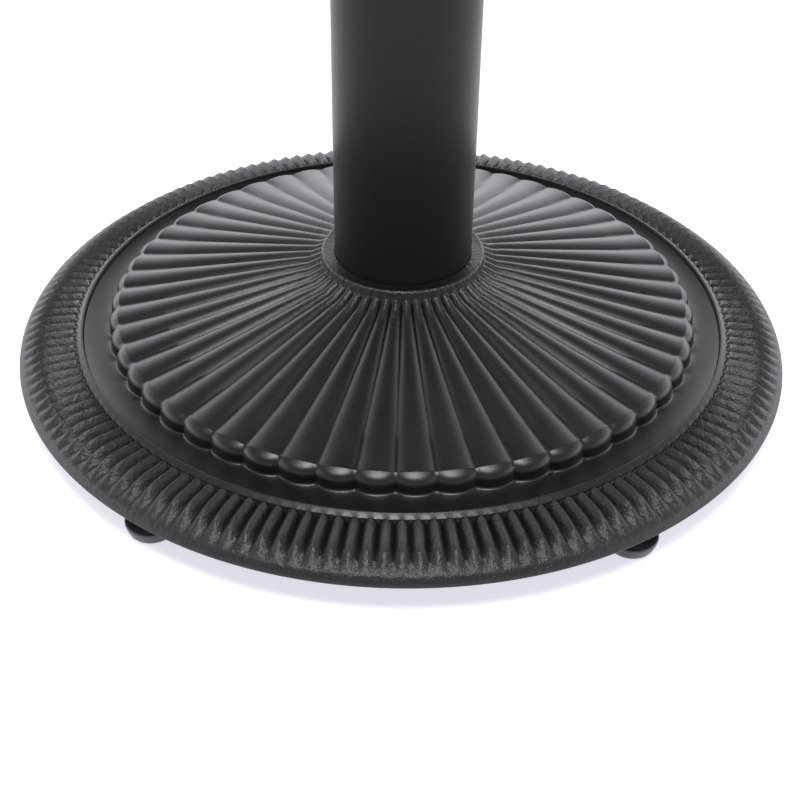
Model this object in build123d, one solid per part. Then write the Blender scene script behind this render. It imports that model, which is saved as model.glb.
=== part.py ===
from build123d import *
import math
import os

# Round fluted pedestal base: a hollow cast-iron foot with a ribbed rim and five levelling glides, a steel
# column in a seat on its neck, and a four-arm top spider, all clamped together by one long tie rod.
# Millimetres. +Z is up. The origin is on the floor, on the axis of the column.

# ---- driving dimensions -------------------------------------------------------------------------------
base_d = 431.8
overall_h = 717.5
column_d = 76.2
column_wall = 2.0
rod_d = 16.0
foot_count = 5
flute_count = 52
arm_count = 4

# ---- clearances ---------------------------------------------------------------------------------------
seat_clear = 0.3        # column in its seats, radial
rod_clear = 0.75        # tie rod in the holes it passes through, radial
thread_clear = 0.05     # plain stand-in for a thread, radial
swivel_clear = 0.1      # stud head in the glide's socket, all round

# ---- casting: heights above the floor -----------------------------------------------------------------
edge_z = 17.3           # lower edge of the rim
widest_z = 19.8         # where the rim is widest
band_z = 23.3           # top of the plain outer band
roll_z = 28.1           # middle of the rim's rolled shoulder
rib_z = 32.6            # highest line of the ribbed rim
bead_z = 33.4           # top of the bead
channel_z = 30.4        # plain channel inside the bead
lobe_z = 36.4           # top of the lobes' upright edge
lobe_top_z = 41.2       # rounded shoulder of the lobes
dome_z = 42.1           # start of the straight flutes
neck_z = 61.5           # end of the straight flutes
ring_z = 63.2           # scalloped ring round the neck
collar_z = 69.0         # outer edge of the collar's flat top
ledge_z = 69.6          # top of the collar, against the column
seat_z = 64.0           # floor of the column's seat

# ---- casting: distances in from the rim, and out from the column --------------------------------------
edge_in = 3.2
band_in = 4.1
roll_in = 11.9
rib_in = 22.9
bead_out_in = 31.1
bead_in = 35.2
bead_inner_in = 36.2
lobe_in = 50.9
shoulder_in = 55.4
dome_in = 60.4
collar_out = 7.2
ring_out = 8.7
neck_out = 13.7
lobe_depth = 3.1
flute_depth_outer = 2.6
flute_depth_neck = 1.0
valley_angle = 0.7      # direction of the first valley between two flutes
wall = 7.0
rim_wall = 6.0

# ---- casting: underside -------------------------------------------------------------------------------
boss_d = 44.0
boss_z = 40.0
web_t = 8.0
web_rim_z = 20.0
foot_in = 15.9          # glide centres, in from the rim
foot_angle = 90.0
foot_boss_d = 20.0
foot_boss_in = 4.6      # boss top, below the rim's rolled shoulder

# ---- levelling glides ---------------------------------------------------------------------------------
stud_d = 8.0
thread_pitch = 1.25
pad_h = 9.0
pad_top_d = 27.0
pad_mid_d = 24.6
pad_flat_d = 15.0
engage_h = 6.0          # stud in the casting at rest
retract_h = 2.5         # travel up from rest
head_d = 14.0
head_h = 2.2
head_z = 2.6

# ---- tie rod's fasteners ------------------------------------------------------------------------------
washer_d = 30.0
washer_t = 3.0
lock_d = 27.4
lock_t = 3.5
nut_af = 24.0
nut_h = 13.0
rod_stand_out = 2.0
lock_gap = 2.4

# ---- top spider ---------------------------------------------------------------------------------------
arm_reach = 189.0
arm_root_w = 46.0
arm_tip_w = 28.0
arm_t = 8.0
arm_rib_t = 8.0
arm_rib_root_h = 22.0
arm_rib_tip_h = 3.0
rib_end_gap = 70.0
hub_wall = 7.5
hub_floor_t = 8.0
skirt_h = 8.0
pocket_d = 56.0
screw_hole_d = 7.0
arm_top_round = 1.0
arm_low_round = 2.5
outer_screw_pcd = 350.0
inner_screw_pcd = 240.0

# ---- worked out ---------------------------------------------------------------------------------------
rim_r = base_d / 2
column_r = column_d / 2
rod_r = rod_d / 2
rod_hole_r = rod_r + rod_clear
lobe_r = rim_r - lobe_in
dome_r = rim_r - dome_in
foot_r = rim_r - foot_in
pocket_depth = washer_t + lock_t + nut_h + 2 * rod_stand_out
pocket_z = overall_h - pocket_depth
column_top_z = pocket_z - hub_floor_t
hub_r = max(column_r + seat_clear + hub_wall, pocket_d / 2 + hub_wall)
flute_step = 360 / flute_count


def revolved(points):
    """Turn a closed outline of (radius, height) points about the Z axis."""
    outline = make_face(Polyline(*points, close=True))
    return revolve(Plane.XZ * outline, Axis.Z)


def upright(radius, z_low, z_high, x=0.0, y=0.0):
    """A round bar from one height to another."""
    bar = Cylinder(radius, z_high - z_low, align=(Align.CENTER, Align.CENTER, Align.MIN))
    return Pos(x, y, z_low) * bar


def ring(outer_r, inner_r, z_low, z_high):
    return upright(outer_r, z_low, z_high) - upright(inner_r, z_low, z_high)


def save(solid, node):
    solid.label = node
    export_step(solid, f"parts/{node}.step")
    print(f"{node:22s} {len(solid.solids())} solid {solid.volume / 1000:9.2f} cm3")


# ---- casting ------------------------------------------------------------------------------------------
def rim_ring():
    """The ribbed rim, the bead and the channel floor, which runs in under the lobes."""
    floor_r = dome_r - 2 * wall
    return revolved([
        (floor_r, channel_z),
        (rim_r - bead_inner_in, channel_z),
        (rim_r - bead_inner_in, bead_z - 0.6),
        (rim_r - bead_in, bead_z),
        (rim_r - bead_out_in, rib_z - 0.7),
        (rim_r - rib_in, rib_z),
        (rim_r - roll_in, roll_z),
        (rim_r - band_in, band_z),
        (rim_r, widest_z),
        (rim_r - edge_in, edge_z),
        (rim_r - edge_in - rim_wall, edge_z),
        (rim_r - band_in - rim_wall, roll_z - wall),
        (rim_r - rib_in, channel_z - wall),
        (floor_r, channel_z - wall),
    ])


def dome_shell():
    """The dome from the lobes up to the column's seat, with the boss for the tie rod."""
    shoulder_r = rim_r - shoulder_in
    neck_r = column_r + neck_out
    return revolved([
        (rod_hole_r, seat_z),
        (column_r + seat_clear, seat_z),
        (column_r + seat_clear, ledge_z),
        (column_r + collar_out, collar_z),
        (column_r + ring_out, ring_z),
        (neck_r, neck_z),
        (dome_r, dome_z),
        (shoulder_r, lobe_top_z),
        (shoulder_r + 4.4, lobe_z + 1.7),
        (lobe_r, lobe_z),
        (lobe_r, channel_z - wall),
        (dome_r, channel_z - wall),
        (dome_r, dome_z - wall),
        (neck_r, neck_z - wall),
        (boss_d / 2, neck_z - wall + 1.5),
        (boss_d / 2, boss_z),
        (rod_hole_r, boss_z),
    ])


def lobed_bar():
    """A bar whose outline has one rounded lobe for each flute."""
    cusp_r = lobe_r - lobe_depth
    points = []
    for k in range(flute_count):
        angle = math.radians(k * flute_step)
        points.append((cusp_r * math.cos(angle), cusp_r * math.sin(angle)))
        angle = math.radians((k + 0.5) * flute_step)
        points.append((lobe_r * math.cos(angle), lobe_r * math.sin(angle)))
    points.append(points[0])
    arcs = []
    for k in range(flute_count):
        arcs.append(ThreePointArc(points[2 * k], points[2 * k + 1], points[2 * k + 2]))
    return extrude(make_face(Wire(arcs)), ledge_z + wall)


def flute_valley():
    """One long wedge, deep at the lobes and shallow at the neck, that cuts a valley between two flutes."""
    slope = (neck_z - dome_z) / (dome_r - column_r - neck_out)
    above = 2.0
    sections = []
    for radius, depth in ((column_r + ring_out, flute_depth_neck), (lobe_r + 2, flute_depth_outer)):
        crest_z = dome_z + slope * (dome_r - radius)
        half = math.tan(math.radians(flute_step / 2)) * radius * 0.8
        half_top = half * (depth + above) / depth
        outline = make_face(Polyline(
            (-half_top, crest_z + above), (0, crest_z - depth), (half_top, crest_z + above), close=True))
        sections.append(Plane((radius, 0, 0), x_dir=(0, 1, 0), z_dir=(1, 0, 0)) * outline)
    return loft(sections, ruled=True)


def foot_angles():
    return [foot_angle + k * 360 / foot_count for k in range(foot_count)]


def foot_place(k):
    angle = math.radians(foot_angles()[k])
    return foot_r * math.cos(angle), foot_r * math.sin(angle)


def under_web():
    """One upright web from the centre boss to a glide's boss, its top edge sunk in the shell's wall."""
    half = wall / 2
    neck_r = column_r + neck_out
    outline = make_face(Polyline(
        (rod_hole_r + 4, boss_z + 2),
        (foot_r - 2, web_rim_z),
        (foot_r - 2, channel_z - half),
        (dome_r + half, channel_z - half),
        (dome_r - half, dome_z - half + 0.5),
        (neck_r, neck_z - half),
        (rod_hole_r + 4, neck_z - half),
        close=True))
    return extrude(Plane.XZ * outline, web_t / 2, both=True)


def base_casting():
    dome = dome_shell() & lobed_bar()
    valley = flute_valley()
    dome -= [Rot(0, 0, k * flute_step) * valley for k in range(flute_count)]
    body = Rot(0, 0, valley_angle) * dome + rim_ring()
    web = under_web()
    for k, angle in enumerate(foot_angles()):
        x, y = foot_place(k)
        body += Rot(0, 0, angle) * web
        body += upright(foot_boss_d / 2, edge_z, roll_z - foot_boss_in, x, y)
    stud_room = engage_h + retract_h + 0.5
    for k in range(foot_count):
        x, y = foot_place(k)
        body -= upright(stud_d / 2 + thread_clear, edge_z - 1, edge_z + stud_room, x, y)
    return body - upright(rod_hole_r, boss_z - 1, seat_z + 1)


# ---- column, tie rod and its fasteners ----------------------------------------------------------------
def column_tube():
    return ring(column_r, column_r - column_wall, seat_z, column_top_z)


def fastener_stack(seat, outward):
    """Heights of the flat washer, the lock washer and the nut, outward from the face that they clamp."""
    heights = []
    for thickness in (washer_t, lock_t, nut_h):
        heights.append(tuple(sorted((seat, seat + outward * thickness))))
        seat += outward * thickness
    return heights


def flat_washer(heights):
    return ring(washer_d / 2, rod_hole_r, *heights)


def lock_washer(heights):
    """A split spring washer, drawn flat as it is when tightened."""
    low, high = heights
    washer = ring(lock_d / 2, rod_r + 0.3, low, high)
    slit = Pos(lock_d / 2, 0, (low + high) / 2) * Rot(20, 0, 0) * Box(lock_d, lock_gap, 3 * lock_t)
    return washer - slit


def nut(heights):
    low, high = heights
    hexagon = extrude(RegularPolygon(nut_af / 2, 6, major_radius=False), high - low)
    corner_r = nut_af / math.sqrt(3)
    cut = (corner_r - nut_af / 2) * math.tan(math.radians(30))
    rounded = revolved([
        (0, 0),
        (nut_af / 2, 0),
        (corner_r + 0.01, cut),
        (corner_r + 0.01, high - low - cut),
        (nut_af / 2, high - low),
        (0, high - low),
    ])
    return Pos(0, 0, low) * (hexagon & rounded) - upright(rod_r + thread_clear, low - 1, high + 1)


def tie_rod(z_low, z_high):
    rod = upright(rod_r, z_low, z_high)
    return chamfer(rod.edges(), 1.5)


# ---- top spider ---------------------------------------------------------------------------------------
def spider_arm():
    tip_x = arm_reach - arm_tip_w / 2
    plan = make_face(Polyline(
        (0, -arm_root_w / 2), (tip_x, -arm_tip_w / 2), (tip_x, arm_tip_w / 2), (0, arm_root_w / 2), close=True))
    plan += Pos(tip_x, 0) * Circle(arm_tip_w / 2)
    low = overall_h - arm_t
    plate = Pos(0, 0, low) * extrude(plan, arm_t)
    plate = fillet(plate.edges().group_by(Axis.Z)[0], arm_low_round)
    plate = fillet(plate.edges().group_by(Axis.Z)[-1], arm_top_round)
    rib_outline = make_face(Polyline(
        (0, low + 1),
        (tip_x - rib_end_gap, low + 1),
        (tip_x - rib_end_gap, low - arm_rib_tip_h),
        (hub_r, low - arm_rib_root_h),
        (0, low - arm_rib_root_h),
        close=True))
    rib = extrude(Plane.XZ * rib_outline, arm_rib_t / 2, both=True)
    rib = fillet(rib.edges().filter_by(Axis.Z, reverse=True).filter_by(Axis.Y, reverse=True).group_by(Axis.Z)[0],
                 arm_low_round)
    return plate + rib


def top_spider():
    skirt_z = column_top_z - skirt_h
    hub = upright(hub_r, skirt_z, overall_h)
    hub = fillet(hub.edges().group_by(Axis.Z)[0], arm_low_round)
    body = fillet(hub.edges().group_by(Axis.Z)[-1], arm_top_round)
    arm = spider_arm()
    for k in range(arm_count):
        body += Rot(0, 0, k * 360 / arm_count) * arm
    body -= upright(pocket_d / 2, pocket_z, overall_h + 1)
    body -= upright(column_r + seat_clear, skirt_z - 1, column_top_z)
    body -= upright(rod_hole_r, skirt_z, overall_h)
    for pcd in (outer_screw_pcd, inner_screw_pcd):
        for k in range(arm_count):
            hole = upright(screw_hole_d / 2, overall_h - 2 * arm_t - arm_rib_root_h, overall_h + 1)
            body -= Rot(0, 0, k * 360 / arm_count) * Pos(pcd / 2, 0, 0) * hole
    return body


# ---- levelling glides ---------------------------------------------------------------------------------
def foot_pad():
    """A moulded glide with a rounded lower edge and a socket that holds the stud's head."""
    hole_r = stud_d / 2 + thread_clear
    socket_r = head_d / 2 + swivel_clear
    with BuildSketch(Plane.XZ) as outline:
        with BuildLine():
            top = Polyline((pad_mid_d / 2, pad_h * 0.5), (pad_top_d / 2, pad_h - 0.6), (pad_top_d / 2 - 0.6, pad_h),
                           (hole_r, pad_h), (hole_r, head_z + head_h + swivel_clear),
                           (socket_r, head_z + head_h + swivel_clear), (socket_r, head_z - swivel_clear),
                           (0, head_z - swivel_clear), (0, 0), (pad_flat_d / 2, 0))
            TangentArc(top @ 1, top @ 0, tangent=(1, 0))
        make_face()
    return revolve(outline.sketch, Axis.Z)


def foot_stud():
    shank_top = edge_z + engage_h
    head = upright(head_d / 2, head_z, head_z + head_h)
    shank = upright(stud_d / 2, head_z + head_h / 2, shank_top)
    shank = chamfer(shank.edges().sort_by(Axis.Z)[-1], 0.8)
    return head + shank


# ---- build and write ----------------------------------------------------------------------------------
os.makedirs("parts", exist_ok=True)

bottom_stack = fastener_stack(boss_z, -1)
top_stack = fastener_stack(pocket_z, 1)
rod_low = bottom_stack[2][0] - rod_stand_out
rod_high = top_stack[2][1] + rod_stand_out

save(base_casting(), "base_casting")
save(column_tube(), "column_tube")
save(tie_rod(rod_low, rod_high), "tie_rod")
for end, stack in (("bottom", bottom_stack), ("top", top_stack)):
    save(flat_washer(stack[0]), f"{end}_flat_washer")
    save(lock_washer(stack[1]), f"{end}_lock_washer")
    save(nut(stack[2]), f"{end}_nut")
save(top_spider(), "top_spider")
for k in range(foot_count):
    x, y = foot_place(k)
    save(Pos(x, y, 0) * foot_pad(), f"foot_{k + 1}_pad")
    save(Pos(x, y, 0) * foot_stud(), f"foot_{k + 1}_stud")

print(f"glide travel per radian of stud turn {thread_pitch / (2 * math.pi):.6f} mm")
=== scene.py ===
# %% [markdown]
# # A round fluted pedestal base
# This is the foot and column of a small cafe table. The real one is a hollow iron casting with a fluted dome
# and a ribbed rim, a steel column standing in its collar, a four-arm spider on top, and one long rod that
# clamps them together. Five nylon glides on screwed studs level it.
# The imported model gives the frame: sizes, places and joints. This lesson builds the looks round it.

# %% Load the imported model
import math

import bmesh
import bpy
from mathutils import Matrix, Vector


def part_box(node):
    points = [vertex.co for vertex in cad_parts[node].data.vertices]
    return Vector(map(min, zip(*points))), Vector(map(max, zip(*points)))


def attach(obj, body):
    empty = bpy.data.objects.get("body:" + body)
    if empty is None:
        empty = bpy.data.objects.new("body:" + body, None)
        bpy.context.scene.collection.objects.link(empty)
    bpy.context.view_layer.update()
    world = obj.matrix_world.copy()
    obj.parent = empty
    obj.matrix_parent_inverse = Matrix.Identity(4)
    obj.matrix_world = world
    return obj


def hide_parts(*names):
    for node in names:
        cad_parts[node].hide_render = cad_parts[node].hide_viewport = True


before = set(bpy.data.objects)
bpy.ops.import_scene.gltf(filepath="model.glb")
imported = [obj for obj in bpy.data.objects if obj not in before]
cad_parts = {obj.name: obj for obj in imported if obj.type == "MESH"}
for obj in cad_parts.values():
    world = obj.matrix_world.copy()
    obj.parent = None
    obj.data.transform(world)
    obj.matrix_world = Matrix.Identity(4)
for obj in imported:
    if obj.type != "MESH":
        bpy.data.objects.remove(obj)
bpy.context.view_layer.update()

MM = 0.001
casting_low, casting_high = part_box("base_casting")
column_low, column_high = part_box("column_tube")
rim_r = (casting_high.x - casting_low.x) / 2 / MM
column_r = (column_high.x - column_low.x) / 2 / MM

# %% [markdown]
# ## The camera
# It stands a little above the rim and looks down at the base, so that the column runs out of the top of the
# picture. The place and the direction are worked out from a distance, a tilt and a turn round the column.

# %% Place the camera
look_turn = math.radians(1.34)
look_down = math.radians(36.79)
look_roll = math.radians(0.90)
camera_distance = 3.7146 * rim_r * MM
aim_shift = Vector((-0.0015, -0.1718)) * rim_r * MM
aim_height = 0.05 * rim_r * MM

camera_data = bpy.data.cameras.new("camera")
camera_data.sensor_width = 36
camera_data.lens = 61.9
camera = bpy.data.objects.new("camera", camera_data)
bpy.context.scene.collection.objects.link(camera)
turned = Matrix.Rotation(look_turn, 4, "Z") @ Matrix.Rotation(math.pi / 2 - look_down, 4, "X")
offset = turned @ Vector((aim_shift.x, aim_shift.y, camera_distance))
camera.matrix_world = (Matrix.Translation(offset + Vector((0, 0, aim_height)))
                       @ turned @ Matrix.Rotation(look_roll, 4, "Z"))
bpy.context.scene.camera = camera
print("camera at", [round(c, 3) for c in camera.matrix_world.translation])

# %% [markdown]
# ## Helpers for outlines
# Nearly everything here is turned or cast round one axis, so most pieces start as an outline in the XZ plane
# that a spin turns into a solid. An outline is a list of corners. Each corner has its radius, its height, how
# much it is rounded, and how many points its rounding gets. A plain corner gets one point.

# %% Outline helpers
def rounded(corners):
    """Points of an outline whose corners are (radius, height, rounding, points), in millimetres."""
    places = [Vector((r, z)) for r, z, _, _ in corners]
    points = []
    for k, (r, z, rounding, count) in enumerate(corners):
        here = places[k]
        if count < 2 or k in (0, len(corners) - 1):
            points.append(here)
            continue
        start = here + (places[k - 1] - here).normalized() * rounding
        end = here + (places[k + 1] - here).normalized() * rounding
        for step in range(count):
            t = step / (count - 1)
            points.append(start * (1 - t) ** 2 + here * 2 * t * (1 - t) + end * t ** 2)
    return points


small_steps = 48     # steps round a part about as big as a bolt


def draw_outline(bm, points):
    """Vertices in the XZ plane at each point, joined by edges."""
    verts = [bm.verts.new((p.x * MM, 0, p.y * MM)) for p in points]
    edges = [bm.edges.new(pair) for pair in zip(verts, verts[1:])]
    return verts, edges


def spin_all(outline, steps, sectors=1):
    """A new bmesh with an outline turned all the way round the Z axis, made of equal sectors."""
    bm = bmesh.new()
    row_layer = bm.verts.layers.int.new("row")
    verts, edges = draw_outline(bm, outline)
    for row, vert in enumerate(verts):
        vert[row_layer] = row
    if sectors == 1:
        bmesh.ops.spin(bm, geom=verts + edges, cent=(0, 0, 0), axis=(0, 0, 1), angle=2 * math.pi, steps=steps,
                       use_merge=True, use_duplicate=False)
        return bm
    sector = 2 * math.pi / sectors
    bmesh.ops.spin(bm, geom=verts + edges, cent=(0, 0, 0), axis=(0, 0, 1), angle=sector,
                   steps=steps // sectors, use_merge=False, use_duplicate=False)
    bmesh.ops.spin(bm, geom=bm.verts[:] + bm.edges[:] + bm.faces[:], cent=(0, 0, 0), axis=(0, 0, 1),
                   angle=2 * math.pi - sector, steps=sectors - 1, use_merge=False, use_duplicate=True)
    bmesh.ops.remove_doubles(bm, verts=bm.verts, dist=0.000002)
    return bm


def spin_closed(outline, steps):
    """Like spin_all, for an outline whose ends meet each other or the axis."""
    bm = spin_all(outline, steps)
    bmesh.ops.remove_doubles(bm, verts=bm.verts, dist=0.00001)
    return bm


def add_shape(bm, part):
    """Put a second bmesh into the first one."""
    spare = bpy.data.meshes.new("spare")
    part.to_mesh(spare)
    part.free()
    bm.from_mesh(spare)
    bpy.data.meshes.remove(spare)


def open_loops(bm):
    """The open rims of a mesh, each a list of edges, the one nearest the axis first."""
    left = dict.fromkeys(e for e in bm.edges if e.is_boundary)
    loops = []
    while left:
        first = next(iter(left))
        del left[first]
        loop = [first]
        todo = [first]
        while todo:
            for vert in todo.pop().verts:
                for e in vert.link_edges:
                    if e in left:
                        del left[e]
                        loop.append(e)
                        todo.append(e)
        loops.append(loop)
    return sorted(loops, key=lambda loop: loop[0].verts[0].co.xy.length)


def finish_piece(bm, name, material, body, stands_for=(), smooth_below=35):
    """Close the bmesh into an object, shade it, and tie it to the frame."""
    bmesh.ops.recalc_face_normals(bm, faces=bm.faces)
    mesh = bpy.data.meshes.new(name)
    bm.to_mesh(mesh)
    bm.free()
    piece = bpy.data.objects.new(name, mesh)
    bpy.context.scene.collection.objects.link(piece)
    mesh.shade_smooth()
    mesh.set_sharp_from_angle(angle=math.radians(smooth_below))
    mesh.materials.append(material)
    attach(piece, body)
    if stands_for:
        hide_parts(*stands_for)
    triangles = sum(len(p.vertices) - 2 for p in mesh.polygons)
    print(f"{name}: {triangles} triangles")


# %% [markdown]
# ## Shared surface effects
# Two effects come up on more than one finish. Cast grain is the sand texture that a mould leaves: fine bumps
# with a few larger pits and lumps. Paint peel is the soft dimpling of powder coat. Each is a node group with
# named inputs, so that every material can set its own size.

# %% Node helpers and groups
def add_node(tree, kind, **settings):
    """A new shader node with its settings."""
    node = tree.nodes.new(kind)
    for key, value in settings.items():
        setattr(node, key, value)
    return node


def set_inputs(node, **values):
    """Set a node's inputs by name, with _ for a space."""
    for key, value in values.items():
        node.inputs[key.replace("_", " ")].default_value = value


def new_group(name, inputs, outputs):
    """An empty node group with float inputs (name, default) and float outputs."""
    group = bpy.data.node_groups.new(name, "ShaderNodeTree")
    for socket, default in inputs:
        made = group.interface.new_socket(socket, in_out="INPUT", socket_type="NodeSocketFloat")
        made.default_value = default
    for socket in outputs:
        group.interface.new_socket(socket, in_out="OUTPUT", socket_type="NodeSocketFloat")
    return group, group.nodes.new("NodeGroupInput"), group.nodes.new("NodeGroupOutput")


def math_node(tree, operation, a, b=None):
    """A maths node whose inputs are sockets or numbers."""
    node = add_node(tree, "ShaderNodeMath", operation=operation)
    for socket, value in zip(node.inputs, (a, b)):
        if value is None:
            continue
        if isinstance(value, (int, float)):
            socket.default_value = value
        else:
            tree.links.new(value, socket)
    return node.outputs[0]


def ramp(tree, value, low, high, out_low=0.0, out_high=1.0):
    """A smooth step from one value to another."""
    node = add_node(tree, "ShaderNodeMapRange", interpolation_type="SMOOTHSTEP")
    set_inputs(node, From_Min=low, From_Max=high, To_Min=out_low, To_Max=out_high)
    tree.links.new(value, node.inputs["Value"])
    return node.outputs[0]


def make_cast_grain():
    tree, into, out = new_group("cast grain", [("Grains per metre", 900.0), ("Pits per metre", 160.0)],
                                ["Height", "Pits", "Patches"])
    place = add_node(tree, "ShaderNodeTexCoord").outputs["Object"]
    fine = add_node(tree, "ShaderNodeTexNoise")
    set_inputs(fine, Detail=3.0, Roughness=0.6)
    lumps = add_node(tree, "ShaderNodeTexNoise")
    set_inputs(lumps, Detail=2.0, Roughness=0.5)
    pits = add_node(tree, "ShaderNodeTexVoronoi")
    patches = add_node(tree, "ShaderNodeTexNoise")
    set_inputs(patches, Scale=22.0, Detail=2.0, Roughness=0.5)
    for node in (fine, lumps, pits, patches):
        tree.links.new(place, node.inputs["Vector"])
    tree.links.new(into.outputs["Grains per metre"], fine.inputs["Scale"])
    tree.links.new(into.outputs["Pits per metre"], pits.inputs["Scale"])
    tree.links.new(math_node(tree, "MULTIPLY", into.outputs["Pits per metre"], 1.7), lumps.inputs["Scale"])
    pit = ramp(tree, pits.outputs["Distance"], 0.10, 0.30, 1.0, 0.0)
    rare = ramp(tree, lumps.outputs["Fac"], 0.52, 0.66)
    pit = math_node(tree, "MULTIPLY", pit, rare)
    lump_height = math_node(tree, "MULTIPLY", lumps.outputs["Fac"], 1.4)
    height = math_node(tree, "ADD", fine.outputs["Fac"], lump_height)
    height = math_node(tree, "SUBTRACT", height, math_node(tree, "MULTIPLY", pit, 0.9))
    tree.links.new(height, out.inputs["Height"])
    tree.links.new(pit, out.inputs["Pits"])
    tree.links.new(patches.outputs["Fac"], out.inputs["Patches"])
    return tree


def make_paint_peel():
    tree, into, out = new_group("paint peel", [("Dimples per metre", 420.0)], ["Height", "Cloud"])
    place = add_node(tree, "ShaderNodeTexCoord").outputs["Object"]
    peel = add_node(tree, "ShaderNodeTexNoise")
    set_inputs(peel, Detail=1.0, Roughness=0.4)
    cloud = add_node(tree, "ShaderNodeTexNoise")
    set_inputs(cloud, Scale=9.0, Detail=3.0, Roughness=0.6)
    for node in (peel, cloud):
        tree.links.new(place, node.inputs["Vector"])
    tree.links.new(into.outputs["Dimples per metre"], peel.inputs["Scale"])
    tree.links.new(peel.outputs["Fac"], out.inputs["Height"])
    tree.links.new(cloud.outputs["Fac"], out.inputs["Cloud"])
    return tree


cast_grain = make_cast_grain()
paint_peel = make_paint_peel()
print("groups:", cast_grain.name, "and", paint_peel.name)


# %% [markdown]
# Every finish starts the same way: a shader, a bump taken from one of the two effects, and a base colour that
# drifts between two near tones, because no coat is quite even.

# %% Start a material
def new_material(name):
    """A material with its Principled shader, ready for links."""
    material = bpy.data.materials.new(name)
    material.use_nodes = True
    tree = material.node_tree
    shader = tree.nodes["Principled BSDF"]
    return material, tree, shader


def use_group(tree, group, **values):
    node = add_node(tree, "ShaderNodeGroup", node_tree=group)
    set_inputs(node, **values)
    return node


def bump_from(tree, shader, height, depth, strength=1.0):
    """Feed a height to the shader's normal. The depth is in metres."""
    bump = add_node(tree, "ShaderNodeBump")
    set_inputs(bump, Strength=strength, Distance=depth)
    tree.links.new(height, bump.inputs["Height"])
    tree.links.new(bump.outputs["Normal"], shader.inputs["Normal"])


def two_tone(tree, shader, mask, dark, light):
    """Mix the base colour between two tones by a mask."""
    mix = add_node(tree, "ShaderNodeMix", data_type="RGBA")
    mix.inputs["A"].default_value = (*dark, 1)
    mix.inputs["B"].default_value = (*light, 1)
    tree.links.new(mask, mix.inputs["Factor"])
    tree.links.new(mix.outputs["Result"], shader.inputs["Base Color"])


# %% [markdown]
# ## Finishes
# The casting and the spider are iron under black powder coat. The coat softens the sand texture but doesn't
# hide it: the dome is fairly smooth, while the rim's ribs and the flutes' ends by the collar stay rough.
# The distance from the axis tells those zones apart.

# %% Black powder coat on cast iron
def make_casting_finish(name, rough_zones):
    material, tree, shader = new_material(name)
    grain = use_group(tree, cast_grain, Grains_per_metre=950.0, Pits_per_metre=210.0)
    place = add_node(tree, "ShaderNodeTexCoord").outputs["Object"]
    split = add_node(tree, "ShaderNodeSeparateXYZ")
    tree.links.new(place, split.inputs[0])
    across = math_node(tree, "POWER", split.outputs["X"], 2.0)
    along = math_node(tree, "POWER", split.outputs["Y"], 2.0)
    radius = math_node(tree, "SQRT", math_node(tree, "ADD", across, along))
    if rough_zones:
        rim_zone = ramp(tree, radius, 0.183, 0.189)
        neck_zone = ramp(tree, radius, 0.046, 0.095, 0.75, 0.0)
        rough = math_node(tree, "MAXIMUM", rim_zone, neck_zone)
        rough = math_node(tree, "ADD", math_node(tree, "MULTIPLY", rough, 0.88), 0.12)
    else:
        rough = math_node(tree, "ADD", math_node(tree, "MULTIPLY", radius, 0.2), 0.7)
    height = math_node(tree, "MULTIPLY", grain.outputs["Height"], rough)
    bump_from(tree, shader, height, 0.00030, 1.0)
    # The base colour drifts with random patches, and is painted darker in the pits as painted shade.
    tone = math_node(tree, "MULTIPLY", grain.outputs["Patches"], 0.8)
    tone = math_node(tree, "ADD", tone, math_node(tree, "MULTIPLY", grain.outputs["Pits"], -0.25))
    two_tone(tree, shader, tone, (0.0024, 0.0021, 0.0024), (0.0056, 0.0051, 0.0056))
    sheen = math_node(tree, "MULTIPLY", grain.outputs["Patches"], 0.10)
    sheen = math_node(tree, "ADD", sheen, math_node(tree, "MULTIPLY", rough, 0.05))
    tree.links.new(math_node(tree, "ADD", sheen, 0.33), shader.inputs["Roughness"])
    set_inputs(shader, Specular_IOR_Level=0.5)
    return material


casting_finish = make_casting_finish("black coated casting", True)
spider_finish = make_casting_finish("black coated spider", False)

# %% [markdown]
# The column is drawn steel tube, so its coat lies on a smooth surface and shows only the peel of the powder.

# %% Black powder coat on tube
def make_column_finish():
    material, tree, shader = new_material("black coated tube")
    peel = use_group(tree, paint_peel, Dimples_per_metre=520.0)
    bump_from(tree, shader, peel.outputs["Height"], 0.00010, 0.35)
    two_tone(tree, shader, peel.outputs["Cloud"], (0.0095, 0.0090, 0.0095), (0.0125, 0.0118, 0.0125))
    gloss = math_node(tree, "MULTIPLY", peel.outputs["Cloud"], 0.08)
    tree.links.new(math_node(tree, "ADD", gloss, 0.30), shader.inputs["Roughness"])
    set_inputs(shader, Specular_IOR_Level=0.20)
    return material


column_finish = make_column_finish()

# %% [markdown]
# The rod, nuts, washers and studs are zinc plated: pale metal with slight clouds of blue and straw.
# The glides are black moulded nylon with a fine matt grain.

# %% Zinc plate and nylon
def make_zinc_finish():
    material, tree, shader = new_material("zinc plate")
    peel = use_group(tree, paint_peel, Dimples_per_metre=1500.0)
    bump_from(tree, shader, peel.outputs["Height"], 0.00003, 0.5)
    two_tone(tree, shader, peel.outputs["Cloud"], (0.50, 0.53, 0.56), (0.66, 0.63, 0.55))
    gloss = math_node(tree, "MULTIPLY", peel.outputs["Cloud"], 0.25)
    tree.links.new(math_node(tree, "ADD", gloss, 0.22), shader.inputs["Roughness"])
    shader.inputs["Metallic"].default_value = 1.0
    return material


def make_nylon_finish():
    material, tree, shader = new_material("black nylon")
    peel = use_group(tree, paint_peel, Dimples_per_metre=2600.0)
    bump_from(tree, shader, peel.outputs["Height"], 0.00005, 0.6)
    two_tone(tree, shader, peel.outputs["Cloud"], (0.030, 0.031, 0.036), (0.044, 0.045, 0.050))
    gloss = math_node(tree, "MULTIPLY", peel.outputs["Cloud"], 0.15)
    tree.links.new(math_node(tree, "ADD", gloss, 0.30), shader.inputs["Roughness"])
    return material


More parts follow.
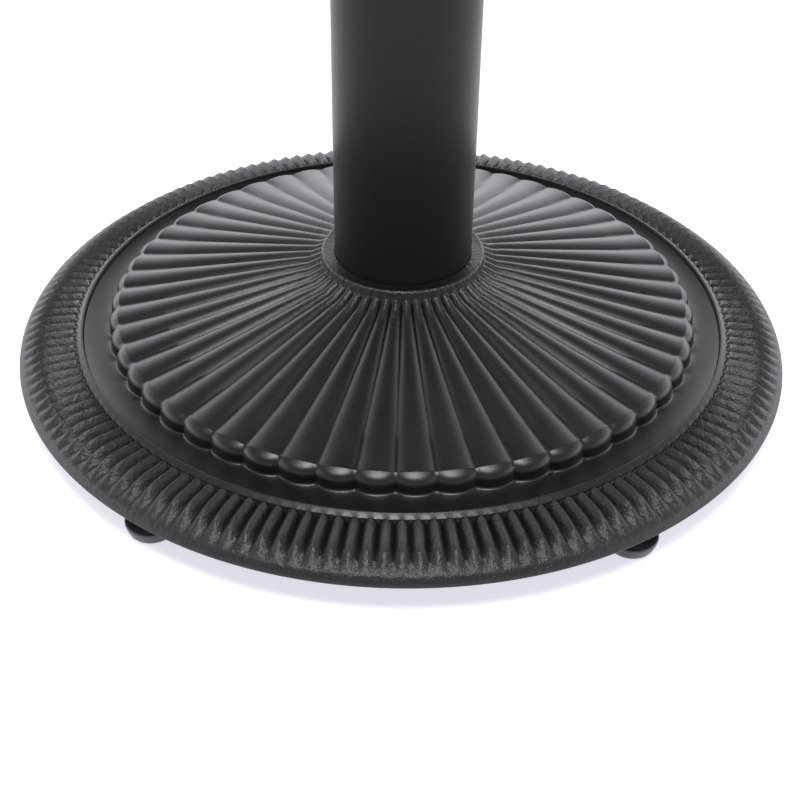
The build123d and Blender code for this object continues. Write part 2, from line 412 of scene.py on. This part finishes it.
zinc_finish = make_zinc_finish()
nylon_finish = make_nylon_finish()
print("finishes:", len(bpy.data.materials))

# %% [markdown]
# ## The casting's two outlines
# The founder's pattern for this dome has every flute alike, so it can be made with one spin. There are two
# outlines: one along the crest of a flute and one along the valley between two flutes. The crest outline is
# spun, and every vertex is then moved towards the valley outline by how far round its flute it stands. The
# rim's ribs work the same way, three to a flute. The other way, one flute copied round, would leave a seam
# at every valley. Radii are given as distances in from the rim or out from the column.

# %% Crest and valley of the dome
flute_count = 52
ribs_per_flute = 3
valley_angle = math.radians(0.7)

collar_top = 69.6
seat_gap = 0.3
cone_in, cone_out = column_r + 14.9, rim_r - 75.9
cone_rows = 12
foot_edge_z = 17.3

dome_corners = [
    # crest: radius, height       valley: radius, height      rounding, points
    (column_r + seat_gap, collar_top, column_r + seat_gap, collar_top, 0, 1),
    (column_r + 5.6, 69.3, column_r + 5.6, 69.3, 0.2, 2),
    (column_r + 6.0, 69.8, column_r + 6.0, 69.7, 0.2, 3),
    (column_r + 7.2, 69.0, column_r + 7.2, 68.9, 0.4, 4),
    (column_r + 7.6, 64.9, column_r + 7.5, 63.6, 0.4, 3),
    (column_r + 8.3, 64.7, column_r + 8.0, 62.6, 0.2, 2),
    (column_r + 9.7, 64.0, column_r + 9.3, 61.5, 0.7, 4),
    (cone_in, 61.3, cone_in, 59.3, 0, 1),
    (cone_out, 45.0, cone_out, 42.8, 0, 1),
    (rim_r - 58.5, 41.7, rim_r - 58.8, 40.1, 0, 1),
    (rim_r - 56.0, 41.5, rim_r - 56.8, 40.3, 0.3, 3),
    (rim_r - 51.0, 38.4, rim_r - 53.6, 37.6, 3.2, 8),
    (rim_r - 50.9, 31.4, rim_r - 53.7, 31.4, 0.1, 2),
    (rim_r - 50.0, 30.6, rim_r - 52.8, 30.6, 0.1, 2),
    (rim_r - 47.5, 30.4, rim_r - 47.5, 30.4, 0, 1),
]
print("dome outline:", len(dome_corners), "corners")

# %% [markdown]
# The rim starts in the smooth channel outside the dome. A plain bead comes first, then the ribs, which run
# level and fall over the rim's roll, and last a plain band down to the edge that the casting stands on.

# %% Crest and valley of the rim
rim_corners = [
    (rim_r - 46.5, 30.4, rim_r - 46.5, 30.4, 0, 1),
    (rim_r - 36.6, 30.4, rim_r - 36.6, 30.4, 0.2, 2),
    (rim_r - 36.2, 33.2, rim_r - 36.2, 33.2, 0.5, 3),
    (rim_r - 35.4, 33.8, rim_r - 35.4, 33.8, 0.5, 3),
    (rim_r - 32.4, 31.9, rim_r - 32.4, 31.9, 0.2, 2),
    (rim_r - 32.2, 32.0, rim_r - 32.1, 30.2, 0.2, 2),
    (rim_r - 31.2, 33.2, rim_r - 31.6, 28.7, 0.6, 3),
    (rim_r - 15.6, 32.6, rim_r - 17.0, 28.0, 4.0, 5),
    (rim_r - 9.9, 29.2, rim_r - 10.8, 26.7, 2.4, 4),
    (rim_r - 5.8, 25.9, rim_r - 6.3, 25.0, 1.2, 3),
    (rim_r - 2.6, 23.9, rim_r - 2.6, 23.9, 1.4, 5),
    (rim_r - 0.3, 20.6, rim_r - 0.3, 20.6, 1.2, 4),
    (rim_r - 0.1, 18.6, rim_r - 0.1, 18.6, 1.0, 4),
    (rim_r - 3.2, foot_edge_z, rim_r - 3.2, foot_edge_z, 0.8, 3),
    (rim_r - 4.4, foot_edge_z, rim_r - 4.4, foot_edge_z, 0, 1),
]
print("rim outline:", len(rim_corners), "corners")

# %% [markdown]
# The cross-section of a flute is part of a circle: flat on the crest and steep in the valley, so that two
# flutes meet in a sharp line. `arc_fall` is that circle, from 0 on the crest to 1 in the valley. A rib is
# narrower and steeper, with a ridge along its top, so it has a shape of its own.

# %% Spin an outline and pull it towards the valleys
def arc_fall(share):
    """How far a flute has fallen at a share of its half width: an arc, flat on the crest."""
    bulge = 0.72
    return (1 - math.sqrt(1 - (bulge * share) ** 2)) / (1 - math.sqrt(1 - bulge ** 2))


def ridge_fall(share):
    """How far a rib has fallen: a narrow rounded ridge between two straight sides."""
    round_part = 0.22
    return (math.hypot(share, round_part) - round_part) / (math.hypot(1, round_part) - round_part)


def hand_dressed(place, angle):
    """The collar's edge was dressed by hand, so it wanders by a few tenths of a millimetre."""
    edge_out, reach = 7.4, 1.6
    near = max(0, 1 - abs(place.x - column_r - edge_out) / reach)
    wander = math.sin(37 * angle) + math.sin(61 * angle + 1) + math.sin(97 * angle + 2)
    return Vector((0.10 * wander * near, 0.09 * math.sin(83 * angle + wander) * near))


def spin_pattern(corners, waves, per_wave, fall_shape, wobble):
    """Spin the crest outline and shape each vertex towards the valley outline."""
    crest = rounded([(c[0], c[1], c[4], c[5]) for c in corners])
    valley = rounded([(c[2], c[3], c[4], c[5]) for c in corners])
    bm = spin_all(crest, waves * per_wave, flute_count)
    row_layer = bm.verts.layers.int.get("row")
    for vert in bm.verts:
        row = vert[row_layer]
        angle = math.atan2(vert.co.y, vert.co.x)
        wave = round(angle * waves * per_wave / (2 * math.pi)) / per_wave
        share = abs(2 * (wave % 1) - 1)
        fall = fall_shape(share) * wobble(math.floor(wave) % waves)
        place = crest[row].lerp(valley[row], fall)
        angle += valley_angle
        place += hand_dressed(place, angle)
        vert.co = (place.x * MM * math.cos(angle), place.x * MM * math.sin(angle), place.y * MM)
    print(f"{waves} waves, {len(crest)} rows, {len(bm.faces)} faces")
    return bm


def uneven(amount, salt):
    """Hand-cut patterns differ a little from one rib to the next."""
    def one(index):
        return 1 - amount * (0.5 + 0.5 * math.sin(index * 12.9898 + salt))
    return one


# %% [markdown]
# The straight part of the dome gets more rows, so that its faces aren't long slivers. Under the dome the
# casting is hollow, with a boss for the rod in the middle and five webs out to the threaded bosses that the
# glides screw into. They are modelled too, because the base is often seen from below when it is put together.

# %% Model the casting
def with_cone_rows(corners):
    """Put evenly spaced rows between the two ends of the straight flutes."""
    start = next(k for k, c in enumerate(corners) if c[0] == cone_in)
    first, last = corners[start], corners[start + 1]
    between = []
    for row in range(1, cone_rows):
        t = row / cone_rows
        between.append(tuple(a + (b - a) * t for a, b in zip(first[:4], last[:4])) + (0, 1))
    return corners[:start + 1] + between + corners[start + 1:]


glide_count = 5
boss_r, boss_low, rod_hole_r = 22.0, 40.0, 8.75
web_t, web_low, web_top = 8.0, 26.0, 57.5
foot_boss_r, stud_hole_r, stud_hole_top, foot_boss_top = 10.0, 4.05, 26.1, 26.3
seat_z = 64.0
underside_steps = 208
underside_corners = [
    (rim_r - 5.2, foot_edge_z, 0, 1),
    (rim_r - 8.6, foot_edge_z, 0.6, 3),
    (rim_r - 10.4, 20.6, 3.0, 4),
    (rim_r - 23.0, 24.0, 3.0, 4),
    (rim_r - 59.0, 24.2, 3.0, 4),
    (rim_r - 62.0, 34.6, 3.0, 4),
    (column_r + 14.0, 54.5, 3.0, 4),
    (boss_r, 56.5, 3.0, 4),
    (boss_r, boss_low, 1.0, 3),
    (rod_hole_r, boss_low, 0, 1),
]


def close_between(bm, loop_a, loop_b):
    """Join two open rims, which may have different numbers of edges."""
    bmesh.ops.bridge_loops(bm, edges=loop_a + loop_b)


def make_web(place):
    """One upright web, from the centre boss out to the glide at the given place."""
    web_in, web_out = boss_r - 4, place.xy.length / MM - 6
    corners = [(web_in, boss_low + 2), (web_out, 20.0), (web_out, web_low), (rim_r - 60, web_low),
               (rim_r - 64, 37.0), (column_r + 14, web_top), (web_in, web_top)]
    bm = bmesh.new()
    verts = [bm.verts.new((r * MM, -web_t / 2 * MM, z * MM)) for r, z in corners]
    face = bm.faces.new(verts)
    grown = bmesh.ops.extrude_face_region(bm, geom=[face])
    moved = [v for v in grown["geom"] if isinstance(v, bmesh.types.BMVert)]
    bmesh.ops.translate(bm, verts=moved, vec=(0, web_t * MM, 0))
    bmesh.ops.bevel(bm, geom=bm.edges[:], offset=0.8 * MM, segments=2, affect="EDGES", profile=0.5,
                    material=-1)
    bmesh.ops.rotate(bm, verts=bm.verts, cent=(0, 0, 0),
                     matrix=Matrix.Rotation(math.atan2(place.y, place.x), 3, "Z"))
    return bm


def make_foot_boss(place):
    """The threaded boss that a glide's stud screws into."""
    outline = rounded([
        (0, stud_hole_top, 0, 1),
        (stud_hole_r, stud_hole_top, 0, 1),
        (stud_hole_r, foot_edge_z + 0.4, 0, 1),
        (stud_hole_r + 0.5, foot_edge_z, 0, 1),
        (foot_boss_r, foot_edge_z, 0.8, 4),
        (foot_boss_r, 23.4, 1.5, 4),
        (4.6, foot_boss_top, 0, 1),
        (0, foot_boss_top, 0, 1),
    ])
    bm = spin_closed(outline, small_steps)
    bmesh.ops.translate(bm, verts=bm.verts, vec=(place.x, place.y, 0))
    return bm


def make_casting():
    bm = spin_pattern(with_cone_rows(dome_corners), flute_count, 14, arc_fall, uneven(0.05, 1.0))
    add_shape(bm, spin_pattern(rim_corners, flute_count * ribs_per_flute, 6, ridge_fall, uneven(0.14, 2.0)))
    # four edges are open now: the collar's, the dome's foot, and the rim's inner and outer ones
    loops = open_loops(bm)
    close_between(bm, loops[1], loops[2])
    # the hollow underneath, and the seat inside the collar
    seat_r = column_r + seat_gap
    seat = [(rod_hole_r, seat_z, 0, 1), (seat_r, seat_z, 0, 1), (seat_r, collar_top - 0.3, 0, 1)]
    hollow = rounded(underside_corners) + rounded(seat)
    add_shape(bm, spin_all(hollow, underside_steps, flute_count))
    loops = open_loops(bm)
    print("open rims:", [(round(loop[0].verts[0].co.xy.length / MM, 1), len(loop)) for loop in loops])
    close_between(bm, loops[0], loops[1])
    close_between(bm, loops[2], loops[3])
    print("open edges left:", sum(e.is_boundary for e in bm.edges))
    for k in range(glide_count):
        low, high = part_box(f"foot_{k + 1}_stud")
        place = (low + high) / 2
        add_shape(bm, make_web(place))
        add_shape(bm, make_foot_boss(place))
    finish_piece(bm, "fluted_casting", casting_finish, "root", ["base_casting"], 50)


make_casting()

# %% [markdown]
# ## The column
# A length of tube. Its two ends are cut square with the edges broken. Its wall has its real thickness, so
# that the tie rod has room to run inside it. A turned outline does this in one go.

# %% Turn the column
def make_column():
    wall, broken = 2.0, 0.5
    low, high = column_low.z / MM, column_high.z / MM
    corners = [
        (column_r - wall, low + 2, 0, 1),
        (column_r - wall, low, broken, 3),
        (column_r, low, broken, 3),
        (column_r, high, broken, 3),
        (column_r - wall, high, broken, 3),
        (column_r - wall, low + 2, 0, 1),
    ]
    bm = spin_all(rounded(corners), 180, 12)
    bmesh.ops.remove_doubles(bm, verts=bm.verts, dist=0.00001)
    finish_piece(bm, "coated_column", column_finish, "root", ["column_tube"])


make_column()

# %% [markdown]
# ## The glides
# Each glide is a small nylon moulding that slides over the floor: a flat foot, a side that slopes outwards,
# and a flat top with a hole for its stud. It is round, so it's turned from its outline too.

# %% Turn one glide, then one at each place
def make_glide(k):
    low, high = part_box(f"foot_{k}_pad")
    centre = (low + high) / 2
    top = high.z / MM
    r = (high.x - low.x) / 2 / MM
    corners = [
        (0.0, 0.7, 0, 1),
        (4.0, 0.7, 0.4, 3),
        (4.8, 0.0, 0.4, 3),
        (r * 0.72, 0.0, 3.0, 7),
        (r * 0.91, top * 0.38, 2.0, 6),
        (r, top - 0.6, 0.5, 4),
        (r - 0.6, top, 0.3, 3),
        (r - 2.6, top, 0.2, 3),
        (r - 3.0, top - 0.5, 0.2, 3),
        (6.2, top - 0.5, 0.3, 3),
        (4.2, top - 0.5, 0.2, 3),
        (4.2, 4.9, 0, 1),
        (0.0, 4.9, 0, 1),
    ]
    bm = spin_closed(rounded(corners), 96)
    bmesh.ops.translate(bm, verts=bm.verts, vec=(centre.x, centre.y, 0))
    finish_piece(bm, f"glide_{k}_moulding", nylon_finish, f"glide_{k}", [f"foot_{k}_pad"])


for k in range(glide_count):
    make_glide(k + 1)

# %% [markdown]
# ## Threads
# A screw thread is a spin that climbs: the outline of one turn is spun round and moved up one pitch for every
# full turn. The ends are then cut flat and filled.

# %% A threaded bar
def threaded_bar(bm, crest_r, pitch, low, high, steps):
    """A closed bar with a real thread from one height to the other, in millimetres."""
    thread_depth = 0.61
    root_r = crest_r - thread_depth * pitch
    turns = math.ceil((high - low) / pitch) + 2
    start = low - pitch
    tooth = [(root_r, 0.0), (crest_r, 0.42), (crest_r, 0.56), (root_r, 0.98)]
    verts = [bm.verts.new((r * MM, 0, (start + share * pitch) * MM)) for r, share in tooth]
    verts.append(bm.verts.new((root_r * MM, 0, (start + pitch) * MM)))
    edges = [bm.edges.new(pair) for pair in zip(verts, verts[1:])]
    bmesh.ops.spin(bm, geom=verts + edges, cent=(0, 0, 0), axis=(0, 0, 1), angle=2 * math.pi * turns,
                   dvec=(0, 0, pitch * MM / steps), steps=steps * turns, use_merge=False)
    bmesh.ops.remove_doubles(bm, verts=bm.verts, dist=0.00002)
    for height, outside in ((low, -1), (high, 1)):
        cut = bmesh.ops.bisect_plane(bm, geom=bm.verts[:] + bm.edges[:] + bm.faces[:], dist=0.000001,
                                     plane_co=(0, 0, height * MM), plane_no=(0, 0, outside), clear_outer=True)
        rim = [e for e in cut["geom_cut"] if isinstance(e, bmesh.types.BMEdge)]
        bmesh.ops.edgeloop_fill(bm, edges=rim)


def make_stud(k):
    low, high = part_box(f"foot_{k}_stud")
    centre = (low + high) / 2
    head_r = (high.x - low.x) / 2 / MM
    bottom, top = low.z / MM, high.z / MM
    bm = bmesh.new()
    crest_r, pitch = 4.0, 1.25
    threaded_bar(bm, crest_r, pitch, bottom + 1.0, top, 24)
    head_top = bottom + 2.2
    corners = [(0, bottom, 0, 1), (head_r, bottom, 0.4, 3), (head_r, head_top, 0.4, 3), (0, head_top, 0, 1)]
    add_shape(bm, spin_closed(rounded(corners), small_steps))
    bmesh.ops.translate(bm, verts=bm.verts, vec=(centre.x, centre.y, 0))
    finish_piece(bm, f"stud_{k}_thread", zinc_finish, f"stud_{k}", [f"foot_{k}_stud"], 40)


for k in range(glide_count):
    make_stud(k + 1)

# %% [markdown]
# ## The tie rod
# One long bar holds everything together. It's threaded only at its two ends, so it's two short threaded bars
# with a plain shank between them.

# %% Make the tie rod
def make_tie_rod():
    low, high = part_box("tie_rod")
    bottom, top = low.z / MM, high.z / MM
    crest_r = (high.x - low.x) / 2 / MM
    pitch, low_thread, high_thread = 2.0, 46.0, 50.0
    bm = bmesh.new()
    threaded_bar(bm, crest_r, pitch, bottom, bottom + low_thread, 32)
    upper = bmesh.new()
    threaded_bar(upper, crest_r, pitch, top - high_thread, top, 32)
    add_shape(bm, upper)
    shank_r = crest_r - 0.6
    lap = 3
    shank_low, shank_high = bottom + low_thread - lap, top - high_thread + lap
    shank = rounded([(0, shank_low, 0, 1), (shank_r, shank_low, 1.0, 3),
                     (shank_r, shank_high, 1.0, 3), (0, shank_high, 0, 1)])
    add_shape(bm, spin_closed(shank, small_steps))
    finish_piece(bm, "threaded_tie_rod", zinc_finish, "root", ["tie_rod"], 40)


make_tie_rod()

# %% [markdown]
# ## The carried-over parts
# Washers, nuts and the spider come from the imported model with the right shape, so they only get their
# finishes. Modelling them again would add nothing that can be seen.

# %% Finish the parts that stay
for name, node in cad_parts.items():
    if name == "top_spider":
        node.data.materials.clear()
        node.data.materials.append(spider_finish)
    elif "washer" in name or "nut" in name:
        node.data.materials.clear()
        node.data.materials.append(zinc_finish)
print("nodes in the packed model:", len(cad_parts))

# %% [markdown]
# ## The studio
# A black object is drawn by what it reflects, so the room matters more than the lamp. The floor and the low
# part of the room are white, which lights up the far side of the dome at a flat angle. The room is dark
# higher up, which keeps the near side black. One soft lamp above and in front of the base picks out every
# rounded edge.

# %% Floor, room and lamp
def make_floor():
    bm = bmesh.new()
    floor_half = 14
    bmesh.ops.create_grid(bm, x_segments=1, y_segments=1, size=floor_half)
    mesh = bpy.data.meshes.new("floor")
    bm.to_mesh(mesh)
    bm.free()
    floor = bpy.data.objects.new("floor", mesh)
    bpy.context.scene.collection.objects.link(floor)
    material, tree, shader = new_material("white floor")
    set_inputs(shader, Base_Color=(0.50, 0.50, 0.51, 1), Roughness=0.9, Specular_IOR_Level=0.1,
               Emission_Color=(0.66, 0.655, 0.71, 1), Emission_Strength=1.0)
    mesh.materials.append(material)


def make_room():
    world = bpy.data.worlds.new("studio")
    world.use_nodes = True
    tree = world.node_tree
    background = tree.nodes["Background"]
    direction = add_node(tree, "ShaderNodeTexCoord").outputs["Generated"]
    split = add_node(tree, "ShaderNodeSeparateXYZ")
    tree.links.new(direction, split.inputs[0])
    shade = add_node(tree, "ShaderNodeValToRGB")
    stops = shade.color_ramp.elements
    stops[0].position, stops[0].color = 0.0, (0.97, 0.94, 1.0, 1)
    stops[1].position, stops[1].color = 1.0, (0.04, 0.04, 0.04, 1)
    for position, value in ((0.24, 0.95), (0.36, 0.72), (0.50, 0.36), (0.63, 0.13), (0.72, 0.05)):
        stops.new(position).color = (value * 0.97, value * 0.94, value, 1)
    tree.links.new(split.outputs["Z"], shade.inputs["Fac"])
    front = ramp(tree, split.outputs["Y"], -0.75, 0.1, 0.18, 1.0)
    strength = math_node(tree, "MULTIPLY", front, 3.6)
    tree.links.new(shade.outputs["Color"], background.inputs["Color"])
    tree.links.new(strength, background.inputs["Strength"])
    bpy.context.scene.world = world


def make_lamp(name, place, aim, size, power):
    data = bpy.data.lights.new(name, "AREA")
    data.shape = "RECTANGLE"
    data.size, data.size_y = size
    data.energy = power
    lamp = bpy.data.objects.new(name, data)
    bpy.context.scene.collection.objects.link(lamp)
    lamp.location = place
    lamp.rotation_euler = (Vector(aim) - Vector(place)).to_track_quat("-Z", "Y").to_euler()


make_floor()
make_room()
make_lamp("soft lamp", (0.0, -1.1, 3.1), (0, 0, 0), (1.3, 1.0), 105)
bpy.context.scene.view_settings.view_transform = "Standard"
